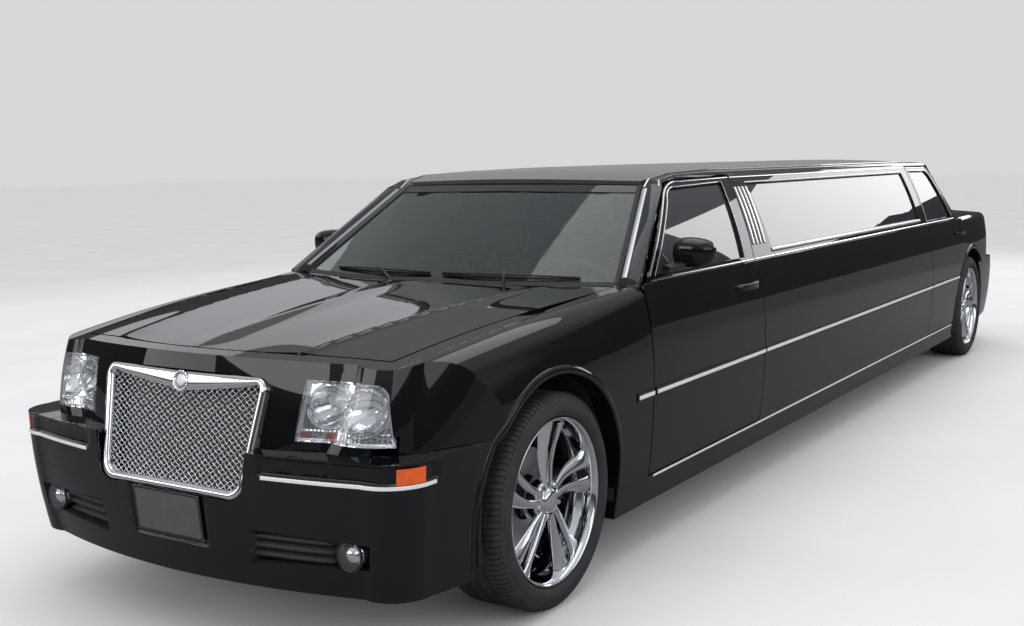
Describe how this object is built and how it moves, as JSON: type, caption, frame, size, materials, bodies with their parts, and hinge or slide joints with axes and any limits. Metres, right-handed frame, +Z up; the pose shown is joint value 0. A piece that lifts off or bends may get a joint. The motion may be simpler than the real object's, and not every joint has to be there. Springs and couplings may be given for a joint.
{
  "type": "stretch limousine",
  "caption": "Long black four-door stretch limousine with a mesh grille, a vinyl roof and long side windows on chrome split-spoke wheels; doors, hood, boot lid, steering and wheels move.",
  "frame": {"origin": "on the ground, under the middle of the car's box", "axes": "+X forward along the car, +Y to the car's left, +Z up"},
  "size_m": [8.05, 2.072, 1.4829],
  "materials": {
    "black_paint": "deep gloss black",
    "black_vinyl": "matt grained vinyl",
    "chrome": "polished",
    "tinted_glass": "dark tint, reflective",
    "clear_glass": "clear",
    "lamp_bowl": "faceted reflector",
    "red_lens": "glossy red",
    "tyre": "matt rubber",
    "dark_steel": "satin black",
    "exhaust_steel": "dull steel",
    "cast_iron": "as cast",
    "dark_plastic": "grained matt",
    "black_leather": "soft leather with seams",
    "wood": "polished veneer"
  },
  "bodies": {
    "body": {"bar_console": "wood", "body_side_left": "black_paint", "body_side_right": "black_paint", "cowl": "dark_plastic", "dashboard": "dark_plastic", "engine_block": "cast_iron", "exhaust_and_shaft": "exhaust_steel", "fender_left": "black_paint", "fender_right": "black_paint", "fixed_windows": "tinted_glass", "floor_pan": "dark_steel", "front_bumper": "black_paint", "front_frame": "dark_steel", "front_lamps": "lamp_bowl", "front_suspension": "dark_steel", "grille": "chrome", "lamp_lenses": "clear_glass", "nose_panel": "black_paint", "partition": "dark_plastic", "quarter_left": "black_paint", "quarter_right": "black_paint", "rear_axle": "dark_steel", "rear_bumper": "black_paint", "rear_deck": "black_paint", "roof": "black_vinyl", "seats": "black_leather", "steering_wheel": "dark_plastic", "tail_lamps": "red_lens", "wheel_liners": "dark_plastic"},
    "front_door_left": {"door_front_left": "black_paint", "door_glass_front_left": "tinted_glass", "mirror_left": "black_paint"},
    "rear_door_left": {"door_rear_left": "black_paint", "door_glass_rear_left": "tinted_glass"},
    "steering_left": {"knuckle_left": "dark_steel"},
    "front_wheel_left": {"wheel_front_left": "chrome", "tyre_front_left": "tyre"},
    "rear_wheel_left": {"wheel_rear_left": "chrome", "tyre_rear_left": "tyre"},
    "front_door_right": {"door_front_right": "black_paint", "door_glass_front_right": "tinted_glass", "mirror_right": "black_paint"},
    "rear_door_right": {"door_rear_right": "black_paint", "door_glass_rear_right": "tinted_glass"},
    "steering_right": {"knuckle_right": "dark_steel"},
    "front_wheel_right": {"wheel_front_right": "chrome", "tyre_front_right": "tyre"},
    "rear_wheel_right": {"wheel_rear_right": "chrome", "tyre_rear_right": "tyre"},
    "hood_lid": {"hood": "black_paint"},
    "trunk_lid": {"boot_lid": "black_paint"}
  },
  "joints": [
    {"name": "door_front_left", "type": "hinge", "parent": "body", "child": "front_door_left", "pos_m": [2.4035, 0.916, 0.7], "axis": [0, 0, -1], "range_deg": [0, 65]},
    {"name": "door_rear_left", "type": "hinge", "parent": "body", "child": "rear_door_left", "pos_m": [-1.8175, 0.916, 0.7], "axis": [0, 0, -1], "range_deg": [0, 65]},
    {"name": "steer_left", "type": "hinge", "parent": "body", "child": "steering_left", "pos_m": [3.1435, 0.745, 0.372], "axis": [0, 0, 1], "range_deg": [-33, 33]},
    {"name": "roll_front_left", "type": "hinge", "parent": "steering_left", "child": "front_wheel_left", "pos_m": [3.1435, 0.8, 0.372], "axis": [0, 1, 0], "continuous": true},
    {"name": "roll_rear_left", "type": "hinge", "parent": "body", "child": "rear_wheel_left", "pos_m": [-2.9525, 0.8, 0.372], "axis": [0, 1, 0], "continuous": true},
    {"name": "door_front_right", "type": "hinge", "parent": "body", "child": "front_door_right", "pos_m": [2.4035, -0.916, 0.7], "axis": [0, 0, 1], "range_deg": [0, 65]},
    {"name": "door_rear_right", "type": "hinge", "parent": "body", "child": "rear_door_right", "pos_m": [-1.8175, -0.916, 0.7], "axis": [0, 0, 1], "range_deg": [0, 65]},
    {"name": "steer_right", "type": "hinge", "parent": "body", "child": "steering_right", "pos_m": [3.1435, -0.745, 0.372], "axis": [0, 0, 1], "range_deg": [-33, 33]},
    {"name": "roll_front_right", "type": "hinge", "parent": "steering_right", "child": "front_wheel_right", "pos_m": [3.1435, -0.8, 0.372], "axis": [0, 1, 0], "continuous": true},
    {"name": "roll_rear_right", "type": "hinge", "parent": "body", "child": "rear_wheel_right", "pos_m": [-2.9525, -0.8, 0.372], "axis": [0, 1, 0], "continuous": true},
    {"name": "hood_open", "type": "hinge", "parent": "body", "child": "hood_lid", "pos_m": [2.4935, 0, 0.982], "axis": [0, -1, 0], "range_deg": [0, 50]},
    {"name": "boot_open", "type": "hinge", "parent": "body", "child": "trunk_lid", "pos_m": [-3.245, 0, 1.03], "axis": [0, 1, 0], "range_deg": [0, 62]}
  ],
  "couplings": [
    {"joint": "steer_right", "follows": "steer_left", "ratio": 1}
  ]
}
